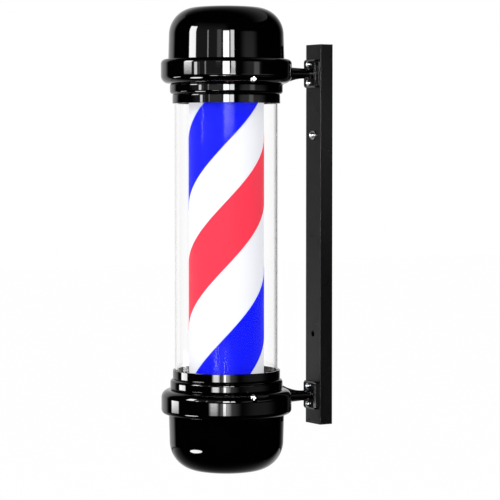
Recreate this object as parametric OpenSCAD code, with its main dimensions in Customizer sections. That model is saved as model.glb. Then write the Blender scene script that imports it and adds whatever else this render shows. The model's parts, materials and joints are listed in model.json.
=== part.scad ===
// Wall-hung barber pole. A striped drum turns on a fixed spindle inside a clear tube. The tube is
// held between two neck rings, each plugged into a collar that carries a closed cap, and two cast
// arms hold the collars off a bar on the wall.
// Millimetres. The origin is the centre of the wall bar's back face: +Z is up, the wall is the
// plane Y = 0, and the pole stands in front of it, towards -Y. Apart from the shape of its caps the
// pole is alike above and below its middle, so its pieces are drawn for the upper half and mirrored
// for the lower one.

/* [Clear tube] */
// Height of the clear tube that shows between the two rims
view_h = 406.8; // [300:0.2:600]
// Outer diameter of the clear tube
tube_od = 157.5; // [150:0.5:180]
// Wall of the clear tube
tube_wall = 2.5; // [2:0.1:4]
// Thickness of the rubber under the tube's end
seal_floor = 1.5; // [1:0.1:2.5]
// Thickness of the rubber around the tube's end
seal_side = 0.6; // [0.4:0.1:1.2]

/* [Neck rings] */
// Height of the rim, the step nearest the clear tube
rim_h = 13.9; // [12:0.1:20]
// Wall of the rim around the tube's rubber
rim_wall = 2.9; // [2:0.1:4]
// Corner radius on the rim's collar side
rim_round = 3; // [1.5:0.1:4]
// Height of the neck, the step between rim and collar
neck_h = 16.2; // [14:0.1:24]
// How far the neck stands out past the rim
neck_step = 3.9; // [2:0.1:6]
// Corner radius on the neck's tube side
neck_round = 5; // [2:0.1:6]
// Corner radius on the neck's collar side
neck_end_round = 4; // [2.5:0.1:5]
// Depth of the groove between rim and neck
neck_groove = 1; // [0.5:0.1:1.5]
// Depth of the groove between neck and collar
collar_groove = 2; // [1:0.1:2.5]
// Depth of the pocket that takes the tube's end
pocket_d = 18.6; // [14:0.1:21]
// Thickness of the web that the bridge plates are screwed to
web_t = 4; // [3:0.1:5]
// Radius of the opening through the web
web_r = 66; // [62:0.5:68]
// Height of the spigot inside the collar
spigot_h = 15; // [12:0.1:20]
// Wall of the spigot
spigot_wall = 4; // [3:0.1:5]
// How far the spigot stands in from the neck's side
spigot_inset = 5.4; // [5:0.1:6]

/* [Collars] */
// Height of a collar
collar_h = 37.2; // [32:0.1:50]
// How far the collar stands out past the neck
collar_step = 13.7; // [13:0.1:18]
// Outer corner radius on the collar's tube side
collar_round_tube = 12.2; // [6:0.1:12.5]
// Outer corner radius on the collar's cap side
collar_round_cap = 7; // [3:0.1:9]
// Thickness of the collar's outer skin
collar_skin = 3.5; // [3:0.1:5]
// Thickness of the collar's lip around the cap
lip_t = 4; // [3:0.1:6]
// Thickness of the collar's seat flange on the tube side
seat_t = 9.6; // [9.6:0.1:12]
// Diameter of the bayonet pins inside a collar
pin_d = 5; // [4:0.1:6]
// Number of bayonet pins that hold a cap
pin_count = 3; // [3:1:4]

/* [Caps] */
// Height of the top dome above its collar
dome_h = 81; // [80:0.1:140]
// Radius of the top dome's shoulder
dome_round = 42; // [30:0.5:60]
// Radius of the top dome's crown
dome_crown_r = 500; // [160:5:600]
// Height of the bottom bowl past its collar
bowl_h = 91.2; // [80:0.1:140]
// Radius of the bottom bowl's shoulder
bowl_round = 45; // [30:0.5:60]
// Radius of the bottom bowl's crown
bowl_crown_r = 270; // [160:5:600]
// How far the cap stands in from the collar's side
cap_inset = 11.35; // [11:0.05:13]
// Lean of a cap's side towards the pole's axis, in degrees
cap_draft = 1.6; // [0:0.1:3]
// Wall of a cap
cap_wall = 2.5; // [2:0.1:3.5]
// Thickness of the rubber ring under a cap
cap_seal_t = 1.5; // [1:0.1:2.5]

/* [Wall bar] */
// Length of the wall bar with its end plugs
bar_h = 593; // [560:1:800]
// Width of the wall bar along the wall
bar_w = 43; // [36:0.5:60]
// Depth of the wall bar from front to back
bar_d = 22.5; // [18:0.5:30]
// Wall of the bar's tube
bar_wall = 1.5; // [1.2:0.1:2]
// Outer corner radius of the bar
bar_corner = 1; // [0.8:0.1:4]
// Thickness of an end plug's rim
plug_rim = 1.6; // [1:0.1:3]
// Depth of an end plug inside the bar
plug_depth = 14; // [8:0.5:20]
// Distance between the two wall holes
wall_hole_pitch = 311; // [200:1:380]
// Diameter of the wall holes
wall_hole_d = 9; // [7:0.1:10]

/* [Arms] */
// Distance from the pole's axis to the front of the bar
reach = 156.5; // [146:0.5:200]
// Height of the arm's middle above the collar's tube-side face
arm_rise = 17.8; // [15:0.1:20]
// Radius of the arm where it leaves the collar
arm_root_r = 9.4; // [8:0.1:10]
// Radius of the arm where it meets its flange
arm_tip_r = 7.6; // [6:0.1:7.7]
// Height of the arm's flange
flange_h = 43.5; // [43.5:0.5:50]
// Width of the arm's flange
flange_w = 34.5; // [30:0.5:38]
// Thickness of the arm's flange
flange_t = 8; // [5:0.5:10]
// Slope cut off the flange's front edges
flange_bevel = 2.5; // [1:0.1:2.5]
// Distance between the two screws of a flange
flange_pitch = 28.4; // [28:0.1:28.4]
// Thickness of the rib under an arm
rib_t = 7; // [5:0.5:10]
// How far the rib reaches down the neck below the collar
rib_drop = 8.5; // [3:0.1:9]
// Width of the arm's pad on the collar
pad_w = 28; // [27:0.5:34]
// Height of the arm's pad on the collar
pad_h = 23; // [18:0.5:24]
// Thickness of the arm's pad
pad_t = 6; // [5.5:0.1:8]
// Distance between the two screws of a pad
pad_pitch = 17; // [16:0.5:20]

/* [Striped drum] */
// Outer diameter of the drum's sleeve
drum_d = 114.5; // [108:0.2:120]
// Wall of the drum's sleeve
drum_wall = 0.8; // [0.6:0.1:1.5]
// Height that one whole turn of a stripe climbs
stripe_lead = 391; // [300:1:500]
// Height of the red band along the axis
red_band = 98.5; // [60:0.5:120]
// Height of the blue band along the axis
blue_band = 100.5; // [60:0.5:120]
// Direction of the red band's middle at mid height, in degrees
red_turn = -36; // [-180:1:180]
// Direction of the blue band's middle at mid height, in degrees
blue_turn = 152; // [-180:1:180]
// Thickness of the striped film
film_t = 0.4; // [0.3:0.1:0.8]
// Thickness of a drum disc's plate
disc_t = 4; // [3:0.1:6]
// Height of a drum disc's rim inside the sleeve
disc_rim_h = 14; // [8:0.5:20]
// Height of a drum disc's hub
hub_h = 16; // [12:0.5:24]

/* [Spindle and bearings] */
// Diameter of the spindle
spindle_d = 16; // [14:0.5:18]
// Bore of the spindle for the lamp lead
spindle_bore = 10; // [8:0.5:11]
// Thickness of a spindle nut
nut_h = 8; // [6:0.5:10]
// Width across flats of a spindle nut
nut_af = 24; // [22:0.5:27]
// Outer diameter of a bush
bush_d = 22; // [20.5:0.5:26]
// Thickness of a bush's flange
bush_flange_t = 2; // [1.5:0.1:3]
// Diameter of a bush's flange
bush_flange_d = 30; // [28:0.5:34]
// Thickness of a thrust washer
washer_t = 1.5; // [1:0.1:2]
// Thickness of the bridge plates
bridge_t = 3; // [2:0.1:4]

/* [Drive] */
// Teeth on the drum gear
gear_teeth = 64; // [56:4:72]
// Teeth on the drive pinion
pinion_teeth = 16; // [14:1:20]
// Module of both gears
gear_module = 1; // [0.9:0.05:1.05]
// Face width of the drum gear
gear_t = 6; // [4:0.5:6]
// Bore of the drum gear
gear_bore = 40; // [36:0.5:42]
// Diameter of the motor's shaft
shaft_d = 7; // [5:0.5:8]
// Diameter of the motor's can
motor_d = 49; // [40:0.5:50]
// Height of the motor's can
motor_h = 18; // [14:0.5:30]
// Distance from the shaft to the middle of the motor's can
motor_offset = 9; // [6:0.5:9]
// Thickness of the motor's front plate
motor_plate_t = 1.5; // [1:0.1:2.5]
// Distance between the two screws of the motor
motor_pitch = 60; // [58:0.5:64]

/* [Lamp and wiring] */
// Width of the lamp column
column_w = 30; // [26:0.5:36]
// Wall of the lamp column
column_wall = 2; // [1.5:0.1:3]
// Width of an LED board
board_w = 18; // [12:0.5:22]
// Thickness of an LED board
board_t = 1.2; // [1:0.1:2]
// Side of an LED chip
chip_w = 3.5; // [2.5:0.1:5]
// Distance between LED chips
chip_pitch = 20; // [12:1:40]
// Diameter of a shaft collar that clamps the column
clamp_d = 28; // [24:0.5:34]
// Height of a shaft collar
clamp_h = 8; // [6:0.5:12]
// Length of the LED driver's case along X
driver_x = 32; // [24:0.5:34]
// Length of the LED driver's case along Y
driver_y = 44; // [34:0.5:48]
// Height of the LED driver's case
driver_h = 22; // [14:0.5:30]
// Diameter of the internal leads
lead_d = 3.2; // [2:0.1:3.6]
// Direction of the cable gland on the lower cap, in degrees from +X
gland_turn = 120; // [100:1:140]
// Height of the cable gland past the lower collar
gland_rise = 18; // [16:0.5:24]
// Diameter of the gland's threaded body
gland_d = 16; // [12:0.5:18]
// Bore of the gland for a mains lead
gland_bore = 7; // [5:0.1:8]

/* [Screws] */
// Diameter of the flange and pad screws
m5_d = 5; // [4:0.1:5]
// Head diameter of the flange screws
m5_head_d = 9.6; // [8:0.1:10]
// Head height of the flange screws
m5_head_h = 3.4; // [2.5:0.1:4]
// Diameter of the side screws in the collars
side_d = 6; // [5:0.1:6]
// Head diameter of the side screws
side_head_d = 11.4; // [9:0.1:11.6]
// Head height of the side screws
side_head_h = 4; // [3:0.1:5]
// Direction of the first side screw, in degrees from +X
side_turn = -4.5; // [-20:0.5:20]
// Diameter of the bridge and motor screws
m4_d = 4; // [3:0.1:4]
// Head diameter of the bridge and motor screws
m4_head_d = 7.6; // [7:0.1:8]
// Head height of the bridge and motor screws
m4_head_h = 2.8; // [2:0.1:3]
// Diameter of the gear and driver screws
m3_d = 3; // [2.5:0.1:3]
// Head diameter of the gear and driver screws
m3_head_d = 5.6; // [5:0.1:6]
// Head height of the gear and driver screws
m3_head_h = 2; // [1.6:0.1:2.2]
// Width across flats of the weld nuts inside the wall bar
weld_nut_af = 8; // [8:0.1:10]
// Height of the weld nuts inside the wall bar
weld_nut_h = 4; // [3:0.1:5]
// Diameter of the wall bolt
bolt_d = 6; // [5:0.1:8]
// Head diameter of the wall bolt
bolt_head_d = 10; // [9:0.1:13]
// Head height of the wall bolt
bolt_head_h = 4.2; // [3:0.1:6]
// Diameter of the wall bolt's washer
bolt_washer_d = 14; // [12:0.1:18]
// Thickness of the wall bolt's washer
bolt_washer_t = 1.5; // [1:0.1:2]

/* [Fits] */
// Radial clearance of a running fit
run_fit = 0.05; // [0.02:0.01:0.1]
// Radial clearance of a plugged or bolted fit
loose_fit = 0.1; // [0.05:0.05:0.3]
// Clearance around a cap in its collar
cap_fit = 0.3; // [0.2:0.1:0.6]
// Running gap along the spindle at each end of the drum
end_float = 0.1; // [0.1:0.05:0.5]

/* [Hidden] */
$fn = 64;

// Radii of the pole's outside, from the clear tube outwards
tube_r = tube_od / 2;
pocket_r = tube_r + seal_side;
rim_r = pocket_r + rim_wall;
neck_r = rim_r + neck_step;
spigot_r = neck_r - spigot_inset;
collar_r = neck_r + collar_step;
cap_r = collar_r - cap_inset;

// Heights of the upper half, from the middle outwards
z_rim = view_h / 2;
z_neck = z_rim + rim_h;
z_collar = z_neck + neck_h;
z_cap = z_collar + collar_h;
z_pocket = z_rim + pocket_d;
z_web = z_pocket + web_t;
z_bridge = z_web + bridge_t;
z_seat = z_collar + seat_t;
z_foot = z_seat + cap_seal_t;
z_pin = z_foot + 9.5;
z_arm = z_collar + arm_rise;
z_side = z_collar + 5.1;

// The rim and the neck are beads: each corner is an arc that runs into the groove beside it
rim_turn = acos(1 - neck_groove / rim_round);
z_rim_round = z_neck - rim_round * sin(rim_turn);
neck_turn = acos(max(0, 1 - (neck_step + neck_groove) / neck_round));
z_neck_round = z_neck + neck_round * sin(neck_turn);
neck_end_turn = acos(1 - collar_groove / neck_end_round);
z_neck_end = z_collar - neck_end_round * sin(neck_end_turn);

// The drum sits between the inner spindle nuts, washers and bush flanges
z_nut = z_web - nut_h;
z_washer = z_nut - washer_t;
drum_half = z_washer - end_float - bush_flange_t;
spindle_r = spindle_d / 2;
spindle_half = z_bridge + nut_h + 4;
drum_r = drum_d / 2;
sleeve_in_r = drum_r - drum_wall;
column_half = drum_half - hub_h - clamp_h - 2;
board_h = 2 * column_half - 6;

// The pole's axis and the wall bar
pole_y = bar_d + reach;
tube_h = bar_h - 2 * plug_rim;
plug_fit = 0.15;

// Cap fastening: a pin in each slot of the cap's skirt
slot_w = pin_d + 1;
slot_turn = 12;
pin_turn = slot_turn - 2.4;
pin_first = 20;

// The seats of the side screws and of the pad screws
side_seat_r = collar_r - 7.9;
pad_seat_y = collar_r - collar_skin;
pad_screw_len = collar_skin + pad_t - 0.5;

// Drive geometry, on the side of the spindle away from the LED driver
gear_play = 0.15;
gear_distance = gear_module * (gear_teeth + pinion_teeth) / 2 + gear_play;
motor_x = -(gear_distance + motor_offset);
pinion_top = drum_half + 1;
pinion_hub_r = gear_module * (pinion_teeth / 2 - 2);
shaft_depth = 9;
z_motor = z_bridge + motor_plate_t;

// Wiring under the lower bridge
driver_mid_x = 42;
terminal_y = 42;
terminal_w = 28;
terminal_d = 14;
terminal_h = 12;
lead_r = lead_d / 2;
lead_z = z_bridge + 9;
lamp_lead_z = spindle_half + 6;
lead_bend = 6;
lamp_exit_z = drum_half - hub_h - clamp_h - 16;

// Arm outline
arm_flange_y = reach - flange_t;
arm_pad_y = collar_r + pad_t;
pad_fillet = 2;
tip_fillet = 1.5;
contact_gap = 0.05;

gland_z = z_cap + gland_rise;
gland_r = cap_r - gland_rise * tan(cap_draft);
gland_nut_len = 9;
gland_hex = gland_d * 1.25;

gloss_black = [0.03, 0.03, 0.035];
satin_black = [0.13, 0.13, 0.14];
steel = [0.78, 0.79, 0.81];
zinc = [0.70, 0.71, 0.72];
rubber_black = [0.07, 0.07, 0.07];
stripe_red = [0.96, 0.12, 0.22];
stripe_blue = [0.05, 0.10, 0.95];
sleeve_white = [0.95, 0.96, 0.99];

// Points of an arc about (cx, cy) from angle a0 to a1 in n steps
function arc(cx, cy, r, a0, a1, n = 10) =
    [for (i = [0 : n]) let (a = a0 + (a1 - a0) * i / n) [cx + r * cos(a), cy + r * sin(a)]];

module at_pole() translate([0, -pole_y, 0]) children();
module upper() at_pole() children();
module lower() at_pole() mirror([0, 0, 1]) children();

// A rectangle w by h about the origin with rounded corners
module round_rect(w, h, r) {
    square([w - 2 * r, h], center = true);
    square([w, h - 2 * r], center = true);
    for (x = [-1, 1], y = [-1, 1])
        translate([x * (w / 2 - r), y * (h / 2 - r)]) circle(r);
}

// A plate in the X-Z plane with its back at y and its front at y - t
module upright_plate(w, h, t, r, y, z) {
    translate([0, y, z]) rotate([90, 0, 0]) linear_extrude(t) round_rect(w, h, r);
}

module washer(out_r, in_r, t) {
    difference() {
        cylinder(r = out_r, h = t);
        translate([0, 0, -1]) cylinder(r = in_r, h = t + 2);
    }
}

module hex(af, h) cylinder(d = af / cos(30), h = h, $fn = 6);

module hex_nut(af, bore, h) {
    difference() {
        hex(af, h);
        translate([0, 0, -1]) cylinder(d = bore, h = h + 2);
    }
}

// A cross-recess screw: the head stands on z = 0 and the shank runs down from it
module pan_screw(d, head_d, head_h, len) {
    r = head_d / 2;
    recess = head_h * 0.5;
    difference() {
        rotate_extrude() polygon(concat(
            [[0, -len], [d / 2 - 0.4, -len], [d / 2, -len + 0.4], [d / 2, 0], [r, 0]],
            arc(r - head_h * 0.7, head_h * 0.3, head_h * 0.7, 0, 90, 6),
            [[0, head_h]]));
        for (a = [0, 90]) rotate([0, 0, a])
            translate([-head_d * 0.28, -head_d * 0.07, head_h - recess])
                cube([head_d * 0.56, head_d * 0.14, recess + 1]);
    }
}

// Places children on a screw that enters the pole's side at radius r, height z and angle a
module radial(r, z, a) rotate([0, 0, a]) translate([r, 0, z]) rotate([0, 90, 0]) children();

side_angles = [side_turn, side_turn + 180];
pin_angles = [for (i = [0 : pin_count - 1]) pin_first + i * 360 / pin_count];

// One side of a cap's wall: an upright skirt inside the collar, then a side that leans in by the
// draft, a shoulder and a crown, which run into each other without a kink. The centre (x, z) of the
// shoulder's arc lies on a line along the side and on a circle about the crown's centre.
function cap_side(h, shoulder_r, crown_r, inset) =
    let (lean = tan(cap_draft),
         foot_x = cap_r - shoulder_r / cos(cap_draft) + z_cap * lean,
         crown_z = z_cap + h - crown_r,
         half = foot_x * lean + crown_z,
         rest = pow(foot_x, 2) + pow(crown_z, 2) - pow(crown_r - shoulder_r, 2),
         z = (half + sqrt(pow(half, 2) - (1 + lean * lean) * rest)) / (1 + lean * lean),
         x = foot_x - lean * z,
         turn = atan2(z - crown_z, x))
    concat([[cap_r - inset, z_foot], [cap_r - inset, z_cap]],
        arc(x, z, shoulder_r - inset, cap_draft, turn, 14),
        arc(0, crown_z, crown_r - inset, turn, 90, 5));

module cap(h, shoulder_r, crown_r) {
    inner = cap_side(h, shoulder_r, crown_r, cap_wall);
    last = len(inner) - 1;
    difference() {
        rotate_extrude() polygon(concat(
            cap_side(h, shoulder_r, crown_r, 0),
            [for (i = [last : -1 : 0]) inner[i]]));
        for (a = pin_angles) rotate([0, 0, a]) bayonet_slot();
    }
}

// An L-shaped slot: up from the skirt's foot, then round to where the pin rests on its lower edge
module bayonet_slot() {
    in_r = cap_r - cap_wall - 1;
    low = z_pin - pin_d / 2;
    translate([in_r, -slot_w / 2, z_foot - 1])
        cube([cap_wall + 2, slot_w, low - z_foot + 1 + slot_w]);
    rotate_extrude(angle = slot_turn)
        translate([in_r, low]) square([cap_wall + 2, slot_w]);
}

module top_dome() color(gloss_black) upper() cap(dome_h, dome_round, dome_crown_r);

module bottom_bowl() {
    color(gloss_black) difference() {
        lower() cap(bowl_h, bowl_round, bowl_crown_r);
        at_gland() translate([0, 0, -8]) cylinder(r = gland_d / 2 + loose_fit, h = 16);
    }
}

module cap_seal() translate([0, 0, z_seat]) washer(cap_r, cap_r - 5, cap_seal_t);
module top_dome_seal() color(rubber_black) upper() cap_seal();
module bottom_bowl_seal() color(rubber_black) lower() cap_seal();

module collar() {
    rt = collar_round_tube;
    rc = collar_round_cap;
    bore_r = spigot_r + loose_fit;
    lip_r = cap_r + cap_fit;
    skin_r = collar_r - collar_skin;
    difference() {
        union() {
            rotate_extrude() polygon(concat(
                [[bore_r, z_collar]],
                arc(collar_r - rt, z_collar + rt, rt, -90, 0),
                arc(collar_r - rc, z_cap - rc, rc, 0, 90, 8),
                [[lip_r, z_cap], [lip_r, z_cap - lip_t], [skin_r, z_cap - lip_t],
                 [skin_r, z_seat], [bore_r, z_seat]]));
            for (a = pin_angles)
                radial(cap_r - cap_wall - 0.8, z_pin, a + pin_turn)
                    cylinder(d = pin_d, h = cap_inset + cap_wall - collar_skin / 2);
        }
        for (a = side_angles) {
            radial(spigot_r - 1, z_side, a) cylinder(r = side_d / 2 + loose_fit, h = 16);
            radial(side_seat_r, z_side, a) cylinder(r = side_head_d / 2 + 0.25, h = 12);
        }
        for (x = [-1, 1]) pad_screw_place(x) {
            translate([0, 0, -9]) cylinder(r = m5_d / 2 + loose_fit, h = 12);
            cylinder(r = m5_head_d / 2 + 0.4, h = pad_seat_y - cap_r - 1);
        }
    }
}

module upper_collar() color(gloss_black) upper() collar();
module lower_collar() color(gloss_black) lower() collar();

// A pad screw's own frame: head towards the pole's axis, shank towards the wall
module pad_screw_place(side)
    translate([side * pad_pitch / 2, pad_seat_y, z_arm]) rotate([90, 0, 0]) children();

module neck_ring() {
    difference() {
        rotate_extrude() polygon(concat(
            [[pocket_r, z_rim], [rim_r, z_rim]],
            arc(rim_r - rim_round, z_rim_round, rim_round, 0, rim_turn, 4),
            arc(neck_r - neck_round, z_neck_round, neck_round, -neck_turn, 0, 6),
            arc(neck_r - neck_end_round, z_neck_end, neck_end_round, 0, neck_end_turn, 4),
            [[spigot_r, z_collar], [spigot_r, z_collar + spigot_h],
             [spigot_r - spigot_wall, z_collar + spigot_h], [spigot_r - spigot_wall, z_web],
             [web_r, z_web], [web_r, z_pocket], [pocket_r, z_pocket]]));
        for (a = side_angles)
            radial(spigot_r - spigot_wall - 1, z_side, a) cylinder(d = side_d, h = spigot_wall + 2);
        bridge_holes(z_pocket - 1, web_t + 2);
    }
}

module upper_neck_ring() color(gloss_black) upper() neck_ring();
module lower_neck_ring() color(gloss_black) lower() neck_ring();

// The tube's rubber: a floor under its end and a thin wall around it
module tube_seal() {
    wall_h = pocket_d * 0.85;
    difference() {
        translate([0, 0, z_pocket - wall_h]) cylinder(r = pocket_r, h = wall_h);
        translate([0, 0, z_pocket - wall_h - 1]) cylinder(r = tube_r, h = wall_h + 1 - seal_floor);
        translate([0, 0, z_pocket - wall_h - 1]) cylinder(r = tube_r - tube_wall - 1.5, h = wall_h + 2);
    }
}

module upper_tube_seal() color(rubber_black) upper() tube_seal();
module lower_tube_seal() color(rubber_black) lower() tube_seal();

module clear_tube() {
    half = z_pocket - seal_floor;
    color([0.9, 0.95, 1, 0.3]) at_pole() translate([0, 0, -half])
        washer(tube_r, tube_r - tube_wall, 2 * half);
}

module side_screw_pair() {
    for (a = side_angles)
        radial(side_seat_r, z_side, a)
            pan_screw(side_d, side_head_d, side_head_h, side_seat_r - spigot_r + spigot_wall);
}

module side_screws() color(steel) {
    upper() side_screw_pair();
    lower() side_screw_pair();
}

// The pole's outside next to an arm, grown by a gap: neck, collar and its rounded corner
module pole_outside(gap) {
    rt = collar_round_tube;
    rotate_extrude() polygon(concat(
        [[0, z_neck - gap]],
        arc(neck_r - neck_round, z_neck_round, neck_round + gap, -neck_turn, 0, 6),
        [[neck_r + gap, z_collar - gap]],
        arc(collar_r - rt, z_collar + rt, rt + gap, -90, 0),
        [[collar_r + gap, z_cap + 1], [0, z_cap + 1]]));
}

// The horn of the arm: a turned shape along +Y from the pad to the flange
module arm_horn() {
    translate([0, 0, z_arm]) rotate([-90, 0, 0]) rotate_extrude() polygon(concat(
        [[0, arm_pad_y - 1]],
        [[arm_root_r + pad_fillet, arm_pad_y - 1]],
        arc(arm_root_r + pad_fillet, arm_pad_y + pad_fillet, pad_fillet, 270, 180, 5),
        arc(arm_tip_r + tip_fillet, arm_flange_y - tip_fillet, tip_fillet, 180, 90, 5),
        [[arm_tip_r + tip_fillet, arm_flange_y + flange_t / 4], [0, arm_flange_y + flange_t / 4]]));
}

// The rib under the arm: a circle's arc, level at the flange and falling to the neck
module arm_rib() {
    y1 = arm_flange_y - tip_fillet - 6;
    z1 = z_arm - arm_tip_r;
    run = y1 - neck_r;
    drop = z1 - (z_collar - rib_drop);
    r = (run * run + drop * drop) / (2 * drop);
    turn = asin(run / r);
    translate([rib_t / 2, 0, 0]) rotate([0, -90, 0]) linear_extrude(rib_t)
        polygon([for (p = concat(
            arc(y1, z1 - r, r, 90, 90 + turn, 10),
            [[neck_r - 2, z_collar - rib_drop], [neck_r - 2, z_arm], [y1, z_arm]])) [p[1], p[0]]]);
}

// The plate against the bar, with its front edges cut to a slope
module arm_flange() hull() {
    upright_plate(flange_w, flange_h, flange_t - flange_bevel, 3, reach, z_arm);
    upright_plate(flange_w - 2 * flange_bevel, flange_h - 2 * flange_bevel, flange_t, 1, reach, z_arm);
}

module arm() {
    difference() {
        union() {
            arm_flange();
            upright_plate(pad_w, pad_h, pad_t + 5, 3, arm_pad_y, z_arm);
            arm_horn();
            arm_rib();
        }
        pole_outside(contact_gap);
        for (s = [-1, 1]) {
            translate([0, reach + 1, z_arm + s * flange_pitch / 2])
                rotate([90, 0, 0]) cylinder(r = m5_d / 2 + loose_fit, h = flange_t + 2);
            pad_screw_place(s)
                translate([0, 0, -pad_screw_len]) cylinder(d = m5_d, h = pad_screw_len);
        }
    }
}

module upper_arm() color(gloss_black) upper() arm();
module lower_arm() color(gloss_black) lower() arm();

module arm_pad_screws() color(steel) {
    upper() for (s = [-1, 1]) pad_screw_place(s) pan_screw(m5_d, m5_head_d, m5_head_h, pad_screw_len);
    lower() for (s = [-1, 1]) pad_screw_place(s) pan_screw(m5_d, m5_head_d, m5_head_h, pad_screw_len);
}

// Centres of the four flange screws along the bar
flange_screw_z = [for (m = [-1, 1], s = [-1, 1]) m * z_arm + s * flange_pitch / 2];

module arm_flange_screws() color(steel) {
    for (z = flange_screw_z)
        translate([0, -bar_d - flange_t, z]) rotate([90, 0, 0])
            pan_screw(m5_d, m5_head_d, m5_head_h, flange_t + bar_wall + 4);
}

module wall_bar() {
    inner_corner = max(bar_corner - bar_wall, 0.4);
    color(satin_black) difference() {
        translate([0, -bar_d / 2, -tube_h / 2]) linear_extrude(tube_h)
            round_rect(bar_w, bar_d, bar_corner);
        translate([0, -bar_d / 2, -tube_h / 2 - 1]) linear_extrude(tube_h + 2)
            round_rect(bar_w - 2 * bar_wall, bar_d - 2 * bar_wall, inner_corner);
        for (z = flange_screw_z)
            translate([0, -bar_d / 2, z]) rotate([90, 0, 0])
                cylinder(r = m5_d / 2 + loose_fit, h = bar_d / 2 + 1);
        for (s = [-1, 1])
            translate([0, 1, s * wall_hole_pitch / 2]) rotate([90, 0, 0])
                cylinder(d = wall_hole_d, h = bar_d + 2);
    }
}

module bar_plug() {
    w = bar_w - 2 * bar_wall - 2 * plug_fit;
    d = bar_d - 2 * bar_wall - 2 * plug_fit;
    translate([0, -bar_d / 2, tube_h / 2]) {
        linear_extrude(plug_rim) round_rect(bar_w, bar_d, bar_corner);
        translate([0, 0, -plug_depth]) linear_extrude(plug_depth) difference() {
            round_rect(w, d, 0.8);
            round_rect(w - 4, d - 4, 0.8);
        }
    }
}

module bar_top_plug() color(rubber_black) bar_plug();
module bar_bottom_plug() color(rubber_black) mirror([0, 0, 1]) bar_plug();

module bar_weld_nuts() color(zinc) {
    for (z = flange_screw_z)
        translate([0, -bar_d + bar_wall, z]) rotate([-90, 0, 0]) hex_nut(weld_nut_af, m5_d, weld_nut_h);
}

module wall_bolt() {
    color(steel) translate([0, -bar_d - bolt_washer_t, wall_hole_pitch / 2]) rotate([90, 0, 0])
        pan_screw(bolt_d, bolt_head_d, bolt_head_h, bar_d + bolt_washer_t - 1);
}

module wall_washer() {
    color(zinc) translate([0, -bar_d, wall_hole_pitch / 2]) rotate([90, 0, 0])
        washer(bolt_washer_d / 2, bolt_d / 2 + 0.2, bolt_washer_t);
}

bridge_screw_r = (web_r + spigot_r - spigot_wall) / 2;
bridge_angles = [30, 150, 270];

module bridge_holes(z, h)
    for (a = bridge_angles) rotate([0, 0, a])
        translate([bridge_screw_r, 0, z]) cylinder(d = m4_d, h = h);

module bridge_plate() {
    difference() {
        translate([0, 0, z_web]) cylinder(r = spigot_r - spigot_wall - loose_fit, h = bridge_t);
        translate([0, 0, z_web - 1]) cylinder(d = spindle_d, h = bridge_t + 2);
        bridge_holes(z_web - 1, bridge_t + 2);
    }
}

module upper_bridge() color(zinc) upper() difference() {
    bridge_plate();
    for (a = [90, 210, 330]) rotate([0, 0, a])
        translate([bridge_screw_r * 0.58, 0, z_web - 1]) cylinder(r = 14, h = bridge_t + 2);
}

motor_screw_y = [-motor_pitch / 2, motor_pitch / 2];
driver_screw_y = [-driver_y / 2 - 6, driver_y / 2 + 6];

module lower_bridge() color(zinc) lower() difference() {
    bridge_plate();
    translate([-gear_distance, 0, z_web - 1])
        cylinder(r = gear_module * (pinion_teeth / 2 + 1) + 1, h = bridge_t + 2);
    for (y = motor_screw_y) translate([motor_x, y, z_web - 1]) cylinder(d = m4_d, h = bridge_t + 2);
    for (y = driver_screw_y)
        translate([driver_mid_x, y, z_web - 1]) cylinder(d = m3_d, h = bridge_t + 2);
    translate([0, -bridge_screw_r * 0.6, z_web - 1]) cylinder(r = 12, h = bridge_t + 2);
}

module bridge_screw_set()
    for (a = bridge_angles) rotate([0, 0, a]) translate([bridge_screw_r, 0, z_bridge])
        pan_screw(m4_d, m4_head_d, m4_head_h, bridge_t + web_t - 0.4);

module bridge_screws() color(steel) {
    upper() bridge_screw_set();
    lower() bridge_screw_set();
}

module spindle() {
    color(steel) at_pole() difference() {
        translate([0, 0, -spindle_half]) cylinder(r = spindle_r, h = 2 * spindle_half);
        translate([0, 0, -spindle_half - 1]) cylinder(d = spindle_bore, h = 2 * spindle_half + 2);
        translate([0, 0, -lamp_exit_z]) rotate([0, 90, 0]) cylinder(r = lead_r + 0.6, h = spindle_r + 1);
    }
}

module spindle_nut_pair() {
    translate([0, 0, z_nut]) hex_nut(nut_af, spindle_d, nut_h);
    translate([0, 0, z_bridge]) hex_nut(nut_af, spindle_d, nut_h);
}

module spindle_nuts() color(zinc) {
    upper() spindle_nut_pair();
    lower() spindle_nut_pair();
}

module thrust_washer()
    translate([0, 0, z_washer]) washer(bush_flange_d / 2, spindle_r + loose_fit, washer_t);

module thrust_washers() color([0.92, 0.92, 0.88]) {
    upper() thrust_washer();
    lower() thrust_washer();
}

// Lamp column: a square tube with a ring round the spindle, joined by four webs
module lamp_column() {
    color([0.75, 0.76, 0.78]) at_pole() difference() {
        translate([0, 0, -column_half]) linear_extrude(2 * column_half) difference() {
            union() {
                difference() {
                    round_rect(column_w, column_w, 2);
                    round_rect(column_w - 2 * column_wall, column_w - 2 * column_wall, 0.5);
                }
                circle(r = spindle_r + 2.5);
                for (a = [45, 135]) rotate(a)
                    square([column_w * 1.34 - column_wall, column_wall], center = true);
            }
            circle(r = spindle_r + run_fit);
        }
        translate([0, 0, -lamp_exit_z]) rotate([0, 90, 0]) cylinder(r = lead_r + 0.6, h = column_w);
    }
}

module led_boards() color([0.93, 0.94, 0.95]) at_pole() {
    for (a = [0 : 90 : 270]) rotate([0, 0, a])
        translate([column_w / 2, -board_w / 2, -board_h / 2]) cube([board_t, board_w, board_h]);
}

module led_chips() color([1, 0.95, 0.6]) at_pole() {
    n = floor((board_h / 2 - chip_w) / chip_pitch);
    for (a = [0 : 90 : 270], i = [-n : n]) rotate([0, 0, a])
        translate([column_w / 2 + board_t, -chip_w / 2, i * chip_pitch - chip_w / 2])
            cube([0.9, chip_w, chip_w]);
}

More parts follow.
